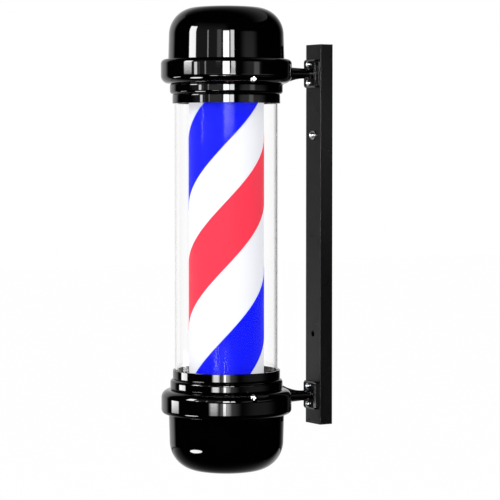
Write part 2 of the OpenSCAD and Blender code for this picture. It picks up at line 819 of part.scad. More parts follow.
module column_clamp() translate([0, 0, column_half]) difference() {
    washer(clamp_d / 2, spindle_r, clamp_h);
    translate([0, 0, clamp_h / 2]) rotate([-90, 0, 0]) cylinder(d = m4_d, h = clamp_d);
}

module column_clamps() color(zinc) {
    upper() column_clamp();
    lower() column_clamp();
}

// The socket set screw that grips the spindle in each shaft collar
module clamp_screw() {
    len = clamp_d / 2 - spindle_r - 0.5;
    translate([0, spindle_r, column_half + clamp_h / 2]) rotate([-90, 0, 0]) difference() {
        cylinder(d = m4_d, h = len);
        translate([0, 0, len - 2]) hex(2, 3);
    }
}

module clamp_screws() color(steel) {
    upper() clamp_screw();
    lower() clamp_screw();
}

module drum_sleeve() {
    color(sleeve_white) at_pole() translate([0, 0, -drum_half])
        washer(drum_r, sleeve_in_r, 2 * drum_half);
}

// A helical band of film on the sleeve. Its inner points lie a little outside the sleeve, because
// the flats between them fall inside the circle.
module stripe(band, mid_turn) {
    half_turn = 180 * band / stripe_lead;
    twist = 720 * drum_half / stripe_lead;
    slices = 48;
    steps = 10;
    in_r = (drum_r + 0.02) / cos(max(twist / slices, 2 * half_turn / steps) / 2);
    translate([0, 0, -drum_half]) rotate([0, 0, mid_turn - twist / 2])
        linear_extrude(height = 2 * drum_half, twist = -twist, slices = slices,
                       segments = 2 * steps + 2)
            polygon(concat(
                arc(0, 0, in_r + film_t, -half_turn, half_turn, steps),
                arc(0, 0, in_r, half_turn, -half_turn, steps)));
}

module red_stripe() color(stripe_red) at_pole() stripe(red_band, red_turn);
module blue_stripe() color(stripe_blue) at_pole() stripe(blue_band, blue_turn);

// A drum disc: plate, rim inside the sleeve, and hub round the bush
module drum_disc(hole_r, hole_at) {
    rim_in = sleeve_in_r - 4;
    difference() {
        translate([0, 0, drum_half]) mirror([0, 0, 1]) union() {
            washer(sleeve_in_r, bush_d / 2, disc_t);
            washer(sleeve_in_r, rim_in, disc_rim_h);
            washer(bush_d / 2 + 5, bush_d / 2, hub_h);
        }
        for (a = [0 : 60 : 300]) rotate([0, 0, a])
            translate([hole_at, 0, drum_half - disc_t - 1]) cylinder(r = hole_r, h = disc_t + 2);
    }
}

module drum_top_disc() color([0.9, 0.9, 0.88]) upper()
    drum_disc(sleeve_in_r * 0.19, sleeve_in_r * 0.62);

gear_screw_r = gear_bore / 2 + 5;

module drum_bottom_disc() color([0.9, 0.9, 0.88]) lower() difference() {
    drum_disc(sleeve_in_r * 0.1, sleeve_in_r * 0.8);
    for (a = [30, 150, 270]) rotate([0, 0, a])
        translate([gear_screw_r, 0, drum_half - 3]) cylinder(d = m3_d, h = 4);
}

module bush() {
    translate([0, 0, drum_half - hub_h])
        washer(bush_d / 2, spindle_r + run_fit, hub_h + bush_flange_t);
    translate([0, 0, drum_half]) washer(bush_flange_d / 2, bush_d / 2, bush_flange_t);
}

module upper_bush() color([0.80, 0.62, 0.30]) upper() bush();
module lower_bush() color([0.80, 0.62, 0.30]) lower() bush();

// Points of a gear with straight-sided teeth: root, tip, tip, root for each tooth
function gear_points(teeth) =
    let (pitch_r = gear_module * teeth / 2,
         tip_r = pitch_r + 0.9 * gear_module,
         root_r = pitch_r - 1.2 * gear_module,
         tip_a = 0.62 * 45 / teeth,
         root_a = 1.32 * 90 / teeth * 0.97)
    [for (i = [0 : teeth - 1], k = [[-root_a, root_r], [-tip_a, tip_r], [tip_a, tip_r], [root_a, root_r]])
        let (a = 360 * i / teeth + k[0]) [k[1] * cos(a), k[1] * sin(a)]];

module drum_gear() {
    color([0.93, 0.93, 0.90]) lower() translate([0, 0, drum_half]) difference() {
        linear_extrude(gear_t) polygon(gear_points(gear_teeth));
        translate([0, 0, -1]) cylinder(d = gear_bore, h = gear_t + 2);
        for (a = [30, 150, 270]) rotate([0, 0, a])
            translate([gear_screw_r, 0, -1]) cylinder(d = m3_d, h = gear_t + 2);
    }
}

module gear_screws() color(steel) lower() {
    for (a = [30, 150, 270]) rotate([0, 0, a])
        translate([gear_screw_r, 0, drum_half + gear_t]) pan_screw(m3_d, m3_head_d, m3_head_h, gear_t + 2.6);
}

module drive_pinion() {
    color([0.93, 0.93, 0.90]) lower() translate([-gear_distance, 0, 0]) difference() {
        union() {
            translate([0, 0, pinion_top]) rotate([0, 0, 180 / pinion_teeth])
                linear_extrude(gear_t) polygon(gear_points(pinion_teeth));
            translate([0, 0, pinion_top]) cylinder(r = pinion_hub_r, h = z_web - pinion_top - 1);
        }
        translate([0, 0, pinion_top - 1]) cylinder(d = shaft_d, h = z_web - pinion_top + 1);
    }
}

module motor_shaft() {
    color(steel) lower() translate([-gear_distance, 0, pinion_top])
        cylinder(d = shaft_d, h = z_motor + shaft_depth - pinion_top);
}

module motor_plate() {
    ear_r = m4_head_d / 2 + 1.2;
    color(zinc) lower() translate([0, 0, z_bridge]) difference() {
        union() {
            translate([motor_x, 0, 0]) cylinder(d = motor_d, h = motor_plate_t);
            translate([motor_x - ear_r, -motor_pitch / 2, 0])
                cube([2 * ear_r, motor_pitch, motor_plate_t]);
            for (y = motor_screw_y) translate([motor_x, y, 0]) cylinder(r = ear_r, h = motor_plate_t);
        }
        for (y = motor_screw_y) translate([motor_x, y, -1])
            cylinder(r = m4_d / 2 + loose_fit, h = motor_plate_t + 2);
        translate([-gear_distance, 0, -1]) cylinder(r = shaft_d / 2 + 1, h = motor_plate_t + 2);
    }
}

module motor_can() {
    color(steel) lower() difference() {
        translate([motor_x, 0, z_motor]) rotate_extrude() polygon(concat(
            [[0, 0], [motor_d / 2, 0]],
            arc(motor_d / 2 - 2, motor_h - 2, 2, 0, 90, 5),
            [[0, motor_h]]));
        translate([-gear_distance, 0, z_motor - 1])
            cylinder(r = shaft_d / 2 + run_fit, h = shaft_depth + 1.5);
    }
}

module motor_screws() color(steel) lower()
    for (y = motor_screw_y) translate([motor_x, y, z_motor])
        pan_screw(m4_d, m4_head_d, m4_head_h, motor_plate_t + bridge_t - 0.2);

module led_driver() {
    ear_t = 2;
    ear_r = 4;
    color([0.88, 0.88, 0.86]) lower() translate([driver_mid_x, 0, z_bridge]) difference() {
        union() {
            linear_extrude(driver_h) round_rect(driver_x, driver_y, 2);
            translate([-ear_r, driver_screw_y[0], 0]) cube([2 * ear_r, driver_y + 12, ear_t]);
            for (y = driver_screw_y) translate([0, y, 0]) cylinder(r = ear_r, h = ear_t);
        }
        for (y = driver_screw_y) translate([0, y, -1])
            cylinder(r = m3_d / 2 + loose_fit, h = ear_t + 2);
    }
}

module driver_screws() color(steel) lower()
    for (y = driver_screw_y) translate([driver_mid_x, y, z_bridge + 2])
        pan_screw(m3_d, m3_head_d, m3_head_h, bridge_t + 1.8);

module terminal_block() {
    color([0.95, 0.95, 0.92]) lower() difference() {
        translate([-terminal_w / 2, terminal_y - terminal_d / 2, z_bridge])
            cube([terminal_w, terminal_d, terminal_h]);
        for (i = [-1.5 : 1 : 1.5], s = [-1, 1])
            translate([i * 6.5, terminal_y + s * 3.5, z_bridge + terminal_h - 6]) cylinder(d = 3.6, h = 7);
    }
}

// A quarter bend of a lead in the X-Z plane about the point at its inner corner
module lead_elbow(bend) rotate_extrude(angle = 90) translate([bend, 0]) circle(r = lead_r, $fn = 24);

module rod_x(x0, x1, y, z)
    translate([x0, y, z]) rotate([0, 90, 0]) cylinder(r = lead_r, h = x1 - x0, $fn = 24);

// From the driver to under the spindle, up its bore and out to the LED board
module lamp_lead() {
    top_bend = 3;
    color([0.85, 0.15, 0.12]) lower() {
        rod_x(lead_bend, driver_mid_x - driver_x / 2, 0, lamp_lead_z);
        translate([lead_bend, 0, lamp_lead_z - lead_bend]) rotate([90, 0, 0]) rotate([0, 0, 90])
            lead_elbow(lead_bend);
        translate([0, 0, lamp_exit_z + top_bend])
            cylinder(r = lead_r, h = lamp_lead_z - lead_bend - lamp_exit_z - top_bend, $fn = 24);
        translate([top_bend, 0, lamp_exit_z + top_bend]) rotate([90, 0, 0]) rotate([0, 0, 180])
            lead_elbow(top_bend);
        rod_x(top_bend, column_w / 2, 0, lamp_exit_z);
    }
}

// From a case's side towards +Y, then round to the terminal block
module side_lead(x, y0) {
    s = x < 0 ? 1 : -1;
    translate([x, y0, lead_z]) rotate([-90, 0, 0])
        cylinder(r = lead_r, h = terminal_y - lead_bend - y0, $fn = 24);
    translate([x + s * lead_bend, terminal_y - lead_bend, lead_z])
        rotate([0, 0, s > 0 ? 90 : 0]) lead_elbow(lead_bend);
    if (s > 0) rod_x(x + lead_bend, -terminal_w / 2, terminal_y, lead_z);
    else rod_x(terminal_w / 2, x - lead_bend, terminal_y, lead_z);
}

module motor_lead() color([0.15, 0.35, 0.75]) lower() side_lead(motor_x, motor_d / 2);
module driver_lead() color([0.90, 0.85, 0.75]) lower() side_lead(driver_mid_x - 6, driver_y / 2);

// Cable gland through the lower cap's side: flange outside, lock nut inside. It leans with the side.
module at_gland()
    lower() rotate([0, 0, gland_turn]) translate([gland_r, 0, gland_z])
        rotate([0, 90 - cap_draft, 0]) children();
gland_in = cap_wall + 7;

module gland_body() {
    color(rubber_black) at_gland() difference() {
        union() {
            hex(gland_hex, 4);
            translate([0, 0, -gland_in]) cylinder(d = gland_d, h = gland_in + 4);
            cylinder(d = gland_d - 2, h = 9);
        }
        translate([0, 0, -gland_in - 1]) cylinder(d = gland_bore, h = gland_in + 5);
        translate([0, 0, 4]) cylinder(d = gland_bore + 4, h = 6);
    }
}

module gland_seal() {
    color([0.25, 0.25, 0.26]) at_gland() translate([0, 0, 4])
        washer(gland_bore / 2 + 2 - loose_fit, gland_bore / 2, 5);
}

module gland_nut() {
    color(rubber_black) at_gland() translate([0, 0, 4]) difference() {
        union() {
            hex(gland_hex - 1, gland_nut_len - 3);
            rotate_extrude() polygon(concat(
                [[0, 0]],
                arc(gland_d / 2 - 2, gland_nut_len - 3, 3, 0, 90, 5),
                [[0, gland_nut_len]]));
        }
        translate([0, 0, -1]) cylinder(d = gland_d - 2, h = 6.2);
        cylinder(d = gland_bore + 0.6, h = gland_nut_len + 1);
    }
}

module gland_lock_nut() {
    seat = gland_r - sqrt(pow(gland_r - cap_wall, 2) - pow(gland_hex / 2, 2));
    color(rubber_black) at_gland() translate([0, 0, -seat - 4])
        hex_nut(gland_hex, gland_d, 4);
}

top_dome();
bottom_bowl();
top_dome_seal();
bottom_bowl_seal();
upper_collar();
lower_collar();
upper_neck_ring();
lower_neck_ring();
upper_tube_seal();
lower_tube_seal();
clear_tube();
side_screws();
upper_arm();
lower_arm();
arm_pad_screws();
arm_flange_screws();
wall_bar();
bar_top_plug();
bar_bottom_plug();
bar_weld_nuts();
wall_bolt();
wall_washer();
upper_bridge();
lower_bridge();
bridge_screws();
spindle();
spindle_nuts();
thrust_washers();
lamp_column();
led_boards();
led_chips();
column_clamps();
clamp_screws();
drum_sleeve();
red_stripe();
blue_stripe();
drum_top_disc();
drum_bottom_disc();
upper_bush();
lower_bush();
drum_gear();
gear_screws();
drive_pinion();
motor_shaft();
motor_plate();
motor_can();
motor_screws();
led_driver();
driver_screws();
terminal_block();
lamp_lead();
motor_lead();
driver_lead();
gland_body();
gland_nut();
gland_seal();
gland_lock_nut();
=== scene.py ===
# %% [markdown]
# # A barber pole on a wall bar
# The real thing is a striped drum that turns inside a clear tube, held between two gloss black
# ends on a bar that is screwed to the wall. The engineering model gives every solid its place, so
# this lesson starts from it and adds what the eye wants: finer curves, finishes and light. It is
# loaded first, and nothing below moves it.

# %% Load the engineering model
import json
from math import acos, atan2, cos, degrees, pi, radians, sin, sqrt, tan, tau

import bmesh
import bpy
from mathutils import Matrix, Vector


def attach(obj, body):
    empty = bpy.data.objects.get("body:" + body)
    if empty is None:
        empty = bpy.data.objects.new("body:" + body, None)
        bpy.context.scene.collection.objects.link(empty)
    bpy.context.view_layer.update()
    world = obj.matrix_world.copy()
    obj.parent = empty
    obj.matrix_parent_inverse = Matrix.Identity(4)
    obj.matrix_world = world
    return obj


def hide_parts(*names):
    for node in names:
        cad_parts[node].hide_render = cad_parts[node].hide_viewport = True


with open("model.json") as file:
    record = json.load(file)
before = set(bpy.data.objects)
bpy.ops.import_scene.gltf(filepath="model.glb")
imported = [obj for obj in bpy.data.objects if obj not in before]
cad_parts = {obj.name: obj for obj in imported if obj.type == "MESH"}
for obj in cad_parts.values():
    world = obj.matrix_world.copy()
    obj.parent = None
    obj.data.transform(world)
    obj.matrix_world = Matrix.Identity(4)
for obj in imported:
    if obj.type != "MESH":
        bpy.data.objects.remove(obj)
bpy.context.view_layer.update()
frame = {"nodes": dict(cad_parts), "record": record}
nodes = frame["nodes"]

# %% [markdown]
# ## The camera
# The pole was photographed from well to its right and a little above its middle, with a long lens
# from about three and a half metres. A long lens keeps the two collars nearly the same width, so
# the camera is set by its turn round the pole's axis, its distance in metres from that axis, its
# height, and by how many degrees it looks to the right of the axis and down.

# %% Camera
POLE_Y = -179.0
CAMERA_TURN, CAMERA_AWAY, CAMERA_UP = radians(60), 3.464, 0.1393
AIM_RIGHT, AIM_DOWN, LENS_MM = 0.597, 2.638, 163.15
axis_point = Vector((0, POLE_Y / 1000, 0))
to_camera = Vector((sin(CAMERA_TURN), -cos(CAMERA_TURN), 0))
to_right = Vector((cos(CAMERA_TURN), sin(CAMERA_TURN), 0))


def aim(turn, tilt):
    """The way the camera looks, turned right and tilted down by degrees from the pole's axis."""
    level = -to_camera * cos(radians(turn)) + to_right * sin(radians(turn))
    return level * cos(radians(tilt)) - Vector((0, 0, sin(radians(tilt))))


lens = bpy.data.cameras.new("camera")
lens.lens = LENS_MM
camera = bpy.data.objects.new("camera", lens)
camera.location = axis_point + to_camera * CAMERA_AWAY + Vector((0, 0, CAMERA_UP))
camera.rotation_mode = "QUATERNION"
camera.rotation_quaternion = aim(AIM_RIGHT, AIM_DOWN).to_track_quat("-Z", "Y")
bpy.context.collection.objects.link(camera)
bpy.context.scene.camera = camera
bpy.context.scene.view_settings.view_transform = "Standard"
print("camera at", tuple(round(v, 3) for v in camera.location))

# %% [markdown]
# ## Helpers for finishes
# Every finish is a Principled shader with a little life in it: a noise on Object coordinates
# shifts its colour and roughness, and a finer one gives it a grain. Object coordinates are in
# metres, so a scale of 400 makes spots of 2.5 mm. They stay with the piece when the drum turns.

# %% Finish helpers
NOISE_DETAIL, GRAIN_DEPTH = 3.0, 0.0002
finishes = {}


def new_finish(name, colour, roughness, metallic=0.0):
    """A material with its shader set; returns its node tree, shader and Object coordinates."""
    material = bpy.data.materials.new(name)
    material.use_nodes = True
    tree = material.node_tree
    shader = tree.nodes["Principled BSDF"]
    shader.inputs["Base Color"].default_value = (*colour, 1)
    shader.inputs["Roughness"].default_value = roughness
    shader.inputs["Metallic"].default_value = metallic
    place = tree.nodes.new("ShaderNodeTexCoord").outputs["Object"]
    finishes[name] = material
    return tree, shader, place


def spots(tree, place, scale, low, high, stretch=(1, 1, 1)):
    """A soft noise from low to high, stretched along the axes where stretch is below 1."""
    mapping = tree.nodes.new("ShaderNodeMapping")
    mapping.inputs["Scale"].default_value = stretch
    noise = tree.nodes.new("ShaderNodeTexNoise")
    noise.inputs["Scale"].default_value = scale
    noise.inputs["Detail"].default_value = NOISE_DETAIL
    spread = tree.nodes.new("ShaderNodeMapRange")
    for socket, value in (("From Min", 0.3), ("From Max", 0.7), ("To Min", low), ("To Max", high)):
        spread.inputs[socket].default_value = value
    tree.links.new(place, mapping.inputs["Vector"])
    tree.links.new(mapping.outputs["Vector"], noise.inputs["Vector"])
    tree.links.new(noise.outputs["Fac"], spread.inputs["Value"])
    return spread.outputs["Result"]


def two_tone(tree, factor, one, other):
    """A colour that runs from one to the other with the factor."""
    mix = tree.nodes.new("ShaderNodeMix")
    mix.data_type = "RGBA"
    mix.inputs["A"].default_value = (*one, 1)
    mix.inputs["B"].default_value = (*other, 1)
    tree.links.new(factor, mix.inputs["Factor"])
    return mix.outputs["Result"]


def grain(tree, shader, height, strength):
    """Bumps that follow a height from 0 to 1."""
    bump = tree.nodes.new("ShaderNodeBump")
    bump.inputs["Strength"].default_value = strength
    bump.inputs["Distance"].default_value = GRAIN_DEPTH
    tree.links.new(height, bump.inputs["Height"])
    tree.links.new(bump.outputs["Normal"], shader.inputs["Normal"])


def lively(name, one, other, rough, scale, bumps, metallic=0.0, stretch=(1, 1, 1)):
    """The plain recipe: two close colours, a roughness range, and bumps of (strength, scale)."""
    tree, shader, place = new_finish(name, one, rough[0], metallic)
    tone = spots(tree, place, scale, 0, 1, stretch=stretch)
    tree.links.new(two_tone(tree, tone, one, other), shader.inputs["Base Color"])
    patches = spots(tree, place, scale * 0.6, rough[0], rough[1], stretch=stretch)
    tree.links.new(patches, shader.inputs["Roughness"])
    grain(tree, shader, spots(tree, place, bumps[1], 0, 1, stretch=stretch), bumps[0])
    return shader


# %% [markdown]
# ## Black finishes
# Caps, collars and neck rings are lacquered to a deep piano black: almost no colour of their own,
# so all that shows is what they mirror. The arms are castings under the same enamel, but their
# surface is less even and blurs what it mirrors. The wall bar is powder coated, which scatters
# light and greys its lit faces.

# %% Black finishes
lively("gloss_black", (0.0004, 0.0004, 0.0005), (0.0007, 0.0007, 0.0008), (0.02, 0.04), 60,
       (0.012, 260))
lively("black_enamel", (0.0006, 0.0006, 0.0007), (0.0010, 0.0010, 0.0011), (0.02, 0.045), 120,
       (0.015, 320))
lively("cast_enamel", (0.0010, 0.0010, 0.0011), (0.0018, 0.0018, 0.0019), (0.10, 0.16), 150,
       (0.08, 420))
lively("satin_black", (0.0018, 0.0018, 0.002), (0.0030, 0.0030, 0.0032), (0.27, 0.33), 90,
       (0.10, 1400))
lively("black_rubber", (0.010, 0.010, 0.010), (0.018, 0.018, 0.018), (0.6, 0.75), 200, (0.2, 900))
lively("black_nylon", (0.008, 0.008, 0.009), (0.014, 0.014, 0.015), (0.3, 0.42), 150,
       (0.15, 1200))
print("black finishes:", len(finishes))

# %% [markdown]
# ## Metals
# Bright screws are nickel plated. Zinc plate is duller and clouds over in patches. The lamp column
# is drawn aluminium, so its noise is stretched along its length, and the bushes are bronze.

# %% Metals
lively("bright_screw", (0.72, 0.73, 0.75), (0.80, 0.81, 0.83), (0.03, 0.07), 500, (0.03, 2400),
       metallic=1.0)
lively("zinc", (0.50, 0.51, 0.52), (0.66, 0.67, 0.69), (0.28, 0.42), 140, (0.08, 900),
       metallic=1.0)
lively("aluminium", (0.62, 0.63, 0.65), (0.72, 0.73, 0.75), (0.25, 0.38), 300, (0.10, 700),
       metallic=1.0, stretch=(1, 1, 0.03))
lively("bush_metal", (0.50, 0.30, 0.12), (0.62, 0.40, 0.18), (0.25, 0.38), 260, (0.08, 1200),
       metallic=1.0)
print("with metals:", len(finishes))

# %% [markdown]
# ## Plastics and wiring
# The inner mouldings, gears and the driver's case are white plastic with a faint cloudiness. The
# LED boards carry copper tracks under white solder mask, drawn here with a brick pattern that has
# thin joints. Leads are glossy vinyl, each in its own colour.

# %% Plastics and wiring
lively("white_plastic", (0.72, 0.72, 0.70), (0.80, 0.80, 0.78), (0.35, 0.45), 90, (0.06, 700))
lively("red_lead", (0.55, 0.02, 0.015), (0.65, 0.03, 0.02), (0.22, 0.3), 300, (0.05, 900))
lively("blue_lead", (0.02, 0.06, 0.45), (0.03, 0.09, 0.55), (0.22, 0.3), 300, (0.05, 900))
lively("white_lead", (0.70, 0.67, 0.58), (0.78, 0.75, 0.66), (0.22, 0.3), 300, (0.05, 900))
lively("led_yellow", (0.85, 0.62, 0.12), (0.95, 0.75, 0.22), (0.18, 0.26), 900, (0.05, 2000))

tree, shader, place = new_finish("led_board", (0.82, 0.83, 0.84), 0.35)
tracks = tree.nodes.new("ShaderNodeTexBrick")
tracks.inputs["Scale"].default_value = 60
tracks.inputs["Mortar Size"].default_value = 0.012
tracks.inputs["Color1"].default_value = (0.80, 0.81, 0.82, 1)
tracks.inputs["Color2"].default_value = (0.84, 0.85, 0.86, 1)
tracks.inputs["Mortar"].default_value = (0.55, 0.50, 0.36, 1)
upright = tree.nodes.new("ShaderNodeMapping")
upright.inputs["Rotation"].default_value = (pi / 2, 0, 0)
tree.links.new(place, upright.inputs["Vector"])
tree.links.new(upright.outputs["Vector"], tracks.inputs["Vector"])
tree.links.new(tracks.outputs["Color"], shader.inputs["Base Color"])
tree.links.new(spots(tree, place, 300, 0.3, 0.4), shader.inputs["Roughness"])
grain(tree, shader, tracks.outputs["Fac"], 0.3)
print("finishes so far:", len(finishes))

# %% [markdown]
# ## The drum's painted glow
# In the real pole a lamp inside the sleeve lights the stripes through. That lamp gives no light
# here. Instead each skin carries a painted glow, an emission in part of its own colour, which keeps
# the stripes evenly bright so they hardly shade towards the drum's edges. The rest of its
# brightness comes from the studio, which keeps it a real surface that also looks right with the
# inner lamp off, that is without its painted glow.

# %% Drum finishes
SKIN_ROUGH, SKIN_SHEEN = (0.42, 0.5), 0.06


def painted_glow_skin(name, one, other, glow, strength):
    """A translucent skin with a painted glow in its own colour, standing in for the lamp behind it.
    """
    shader = lively(name, one, other, SKIN_ROUGH, 45, (0.02, 500))
    # painted glow: an emission in the skin's own colour stands in for the inner lamp shining
    # through and evens out the shading
    shader.inputs["Emission Color"].default_value = (*glow, 1)
    shader.inputs["Emission Strength"].default_value = strength
    shader.inputs["Specular IOR Level"].default_value = SKIN_SHEEN


# each skin: its two colours, then the colour and strength of its painted glow
painted_glow_skin("white_sleeve", (0.84, 0.85, 0.89), (0.86, 0.87, 0.91), (0.90, 0.92, 0.98), 0.46)
painted_glow_skin("red_film", (0.84, 0.032, 0.064), (0.88, 0.036, 0.072), (1.0, 0.048, 0.090), 0.48)
painted_glow_skin("blue_film", (0.003, 0.006, 0.84), (0.004, 0.008, 0.90), (0.0, 0.006, 1.0), 0.5)
print("finishes so far:", len(finishes))

# %% [markdown]
# ## The clear tube's finish
# The tube is extruded acrylic. It is real refraction, not a see-through tint, because its walls
# bend the background into the grey lines along its sides. In the photograph the lights hardly show
# on it, so its specular tint is dark: that dims what it mirrors face on and leaves its sides
# bright. A path tracer finds the light through a curved refracting wall only by luck, so for
# shadow and diffuse rays the tube lets light straight through.

# %% Clear tube finish
ACRYLIC_IOR, FACE_ON_MIRROR = 1.49, 0.1
tree, shader, place = new_finish("clear_plastic", (1.0, 1.0, 1.0), 0.0)
shader.inputs["IOR"].default_value = ACRYLIC_IOR
shader.inputs["Transmission Weight"].default_value = 1.0
shader.inputs["Specular Tint"].default_value = (FACE_ON_MIRROR, FACE_ON_MIRROR, FACE_ON_MIRROR, 1)
path = tree.nodes.new("ShaderNodeLightPath")
either = tree.nodes.new("ShaderNodeMath")
either.operation = "MAXIMUM"
through = tree.nodes.new("ShaderNodeBsdfTransparent")
choose = tree.nodes.new("ShaderNodeMixShader")
tree.links.new(path.outputs["Is Shadow Ray"], either.inputs[0])
tree.links.new(path.outputs["Is Diffuse Ray"], either.inputs[1])
tree.links.new(either.outputs["Value"], choose.inputs["Fac"])
tree.links.new(shader.outputs["BSDF"], choose.inputs[1])
tree.links.new(through.outputs["BSDF"], choose.inputs[2])
tree.links.new(choose.outputs["Shader"], tree.nodes["Material Output"].inputs["Surface"])
print("finishes:", sorted(finishes))

# %% [markdown]
# ## Dress the engineering solids
# The record says which finish each solid has. Solids whose shape is already right, most of them
# inside, just get their finish. The ones that show get a finer piece in the steps after this.

# %% Dress the engineering solids
slot_of = {part["node"]: part["material_slot"] for part in frame["record"]["subparts"]}
for name, slot in slot_of.items():
    for place_in_mesh in nodes[name].material_slots:
        place_in_mesh.material = finishes[slot]
print("dressed", len(slot_of), "solids")

# %% [markdown]
# ## Helpers for shapes
# Most of the outside is turned work, so a piece is an outline of (radius, height) in millimetres
# that is spun about the pole's axis. It is built in fine steps, because a gloss black surface
# shows every flat. Edges sharper than a limit stay crisp, and the rest is shaded smooth. Smooth
# shading would also bend what an upright side mirrors towards the rounding next to it, so every
# long straight gets a holding point near each of its ends.

# %% Shape helpers
def arc(x, z, r, start, end, steps):
    """Points of a circle's arc about (x, z), angles in degrees."""
    turns = [radians(start + (end - start) * i / steps) for i in range(steps + 1)]
    return [(x + r * cos(t), z + r * sin(t)) for t in turns]


LONG_STRAIGHT, HOLD_AT = 5, 0.05


def held_flat(outline, closed):
    """Adds a holding point close to each end of a long straight."""
    points = []
    for one, other in zip(outline, outline[1:] + outline[:1] * closed):
        points.append(one)
        along = Vector(other) - Vector(one)
        if along.length > LONG_STRAIGHT:
            nudge = along.normalized() * HOLD_AT
            points += [tuple(Vector(one) + nudge), tuple(Vector(other) - nudge)]
    return points if closed else points + outline[-1:]


def turned(outline, closed=True, steps=192):
    """Spins an outline of (radius, height) in millimetres about the pole's axis."""
    bm = bmesh.new()
    points = held_flat(outline, closed)
    corners = [bm.verts.new((r / 1000, POLE_Y / 1000, z / 1000)) for r, z in points]
    for one, other in zip(corners, corners[1:] + corners[:1] * closed):
        bm.edges.new((one, other))
    bmesh.ops.spin(bm, geom=bm.verts[:] + bm.edges[:], cent=axis_point, axis=(0, 0, 1),
                   angle=tau, steps=steps, use_merge=True)
    bmesh.ops.remove_doubles(bm, verts=bm.verts[:], dist=1e-6)
    bmesh.ops.recalc_face_normals(bm, faces=bm.faces[:])
    return bm


def flip_down(bm):
    """Mirrors a shape from the upper half of the pole to the lower half."""
    bmesh.ops.scale(bm, vec=(1, 1, -1), verts=bm.verts[:])
    bmesh.ops.reverse_faces(bm, faces=bm.faces[:])
    return bm


def to_object(name, bm):
    """Makes an object at the origin from a bmesh."""
    mesh = bpy.data.meshes.new(name)
    bm.to_mesh(mesh)
    bm.free()
    piece = bpy.data.objects.new(name, mesh)
    bpy.context.collection.objects.link(piece)
    return piece


SHARP_EDGE, SHARP_EDGE_OF_COPY = 32, 30


def smooth(piece, limit):
    """Shades a piece smooth, except along edges sharper than the limit in degrees."""
    bm = bmesh.new()
    bm.from_mesh(piece.data)
    for face in bm.faces:
        face.smooth = True
    for edge in bm.edges:
        edge.smooth = len(edge.link_faces) == 2 and edge.calc_face_angle(0) < radians(limit)
    bm.to_mesh(piece.data)
    bm.free()


def dress(piece, body, *stands_for, limit=SHARP_EDGE):
    """Finishes a piece: smooth shading, its material, its body and the solids it stands for."""
    smooth(piece, limit)
    slot = slot_of[stands_for[0]]
    piece.data.materials.clear()
    piece.data.materials.append(finishes[slot])
    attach(piece, body)
    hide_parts(*stands_for)
    print(piece.name, "faces:", len(piece.data.polygons))


# %% [markdown]
# A hole is cut by a Boolean with a rod, and the result is kept as the piece's own mesh. The rod is
# laid along the direction of the screw or gland that goes through.

# %% Cutting helpers
def rod(start, end, radius, steps=64):
    """A round bar between two points in metres, for cutting."""
    along = end - start
    bm = bmesh.new()
    bmesh.ops.create_cone(bm, cap_ends=True, segments=steps, radius1=radius, radius2=radius,
                          depth=along.length)
    turn = along.to_track_quat("Z", "Y").to_matrix().to_4x4()
    bmesh.ops.transform(bm, matrix=Matrix.Translation((start + end) / 2) @ turn, verts=bm.verts[:])
    return to_object("cutter", bm)


def cut(piece, cutters):
    """Takes the cutters out of a piece and keeps the result."""
    for cutter in cutters:
        hole = piece.modifiers.new("hole", "BOOLEAN")
        hole.operation = "DIFFERENCE"
        hole.solver = "EXACT"
        hole.object = cutter
    bpy.context.view_layer.update()
    view = bpy.context.evaluated_depsgraph_get()
    piece_mesh = bpy.data.meshes.new_from_object(piece.evaluated_get(view))
    piece.modifiers.clear()
    piece.data = piece_mesh
    for cutter in cutters:
        bpy.data.objects.remove(cutter)


def outward(turn, radius, height):
    """A point at a turn in degrees round the pole's axis; radius and height in millimetres."""
    around = Vector((cos(radians(turn)), sin(radians(turn)), 0))
    return axis_point + around * (radius / 1000) + Vector((0, 0, height / 1000))


# %% [markdown]
# ## Dome and bowl
# The two caps are spun from sheet and look alike, but the bowl is a little deeper and rounder than
# the dome. A cap has an upright skirt inside its collar, a side that leans in slightly, a shoulder
# and a shallow crown. They meet without a kink: on a mirror finish a kink would break the
# highlight. The outline goes down the outside and up the inside, so the shell has its true wall.
# The bowl has a hole for the cable gland, at right angles to its leaning side.

# %% Cap outline
CAP_R, CAP_WALL, CAP_FOOT, CAP_LIP = 88.5, 2.5, 244.6, 270.7
DOME_TOP, DOME_SHOULDER, DOME_CROWN = 351.7, 42.0, 500.0
BOWL_TOP, BOWL_SHOULDER, BOWL_CROWN = 361.9, 45.0, 270.0
LEAN = radians(1.6)


def cap_side(top, shoulder_r, crown_r, inset):
    """One side of a cap's wall, from its foot to the middle of its crown."""
    slope = tan(LEAN)
    foot_x = CAP_R - shoulder_r / cos(LEAN) + CAP_LIP * slope
    crown_z = top - crown_r
    half = foot_x * slope + crown_z
    rest = foot_x ** 2 + crown_z ** 2 - (crown_r - shoulder_r) ** 2
    z = (half + sqrt(half ** 2 - (1 + slope ** 2) * rest)) / (1 + slope ** 2)
    x = foot_x - slope * z
    turn = degrees(atan2(z - crown_z, x))
    shoulder = arc(x, z, shoulder_r - inset, degrees(LEAN), turn, 48)
    crown = arc(0, crown_z, crown_r - inset, turn, 90, 24)
    skirt = [(CAP_R - inset, CAP_FOOT), (CAP_R - inset, CAP_LIP)]
    return skirt + shoulder + crown[1:-1] + [(0, top - inset)]


def cap(top, shoulder_r, crown_r):
    """A whole cap, as a bmesh."""
    outside = cap_side(top, shoulder_r, crown_r, 0)
    return turned(outside[::-1] + cap_side(top, shoulder_r, crown_r, CAP_WALL), closed=False)


# %% Dome and bowl
GLAND_TURN, GLAND_RISE, GLAND_HOLE_R, CUT_REACH = 120, 18.0, 0.0081, 10


def gland_point(out):
    """A point on the gland's axis, a distance in millimetres out from the bowl's side."""
    z = CAP_LIP + GLAND_RISE + out * sin(LEAN)
    return outward(GLAND_TURN, CAP_R - GLAND_RISE * tan(LEAN) + out * cos(LEAN), -z)


